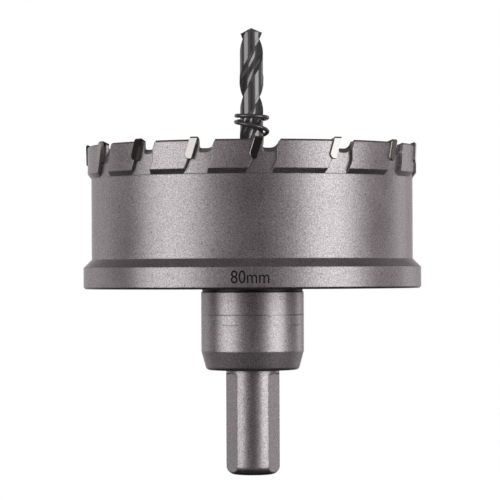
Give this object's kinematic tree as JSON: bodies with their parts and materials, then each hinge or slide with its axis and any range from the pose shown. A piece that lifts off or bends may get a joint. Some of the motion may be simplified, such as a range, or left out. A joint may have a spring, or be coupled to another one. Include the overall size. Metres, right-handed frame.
{
  "type": "hole saw",
  "caption": "Carbide-tipped hole saw: slotted cutting cup with a stop flange on a three-flat shank, with pilot drill and ejector spring.",
  "frame": {"origin": "centre of the shank's end face, which the tool stands on", "axes": "+Z along the tool's axis, from the shank towards the pilot drill's point; -Y to the front of the picture, +X to its right"},
  "size_m": [0.0814, 0.0814, 0.1077],
  "materials": {
    "body_steel": "bead blasted",
    "carbide": "ground",
    "drill_steel": "steam-tempered black",
    "spring_steel": "oil-blackened",
    "screw_steel": "black oxide"
  },
  "bodies": {
    "root": {"arbor": "body_steel", "cutter_body": "body_steel", "pilot_drill": "drill_steel", "ejector_spring": "spring_steel", "pilot_set_screw": "screw_steel", "carbide_tip_01": "carbide", "carbide_tip_02": "carbide", "carbide_tip_03": "carbide", "carbide_tip_04": "carbide", "carbide_tip_05": "carbide", "carbide_tip_06": "carbide", "carbide_tip_07": "carbide", "carbide_tip_08": "carbide", "carbide_tip_09": "carbide", "carbide_tip_10": "carbide", "carbide_tip_11": "carbide", "carbide_tip_12": "carbide", "carbide_tip_13": "carbide", "carbide_tip_14": "carbide", "carbide_tip_15": "carbide"}
  },
  "joints": []
}
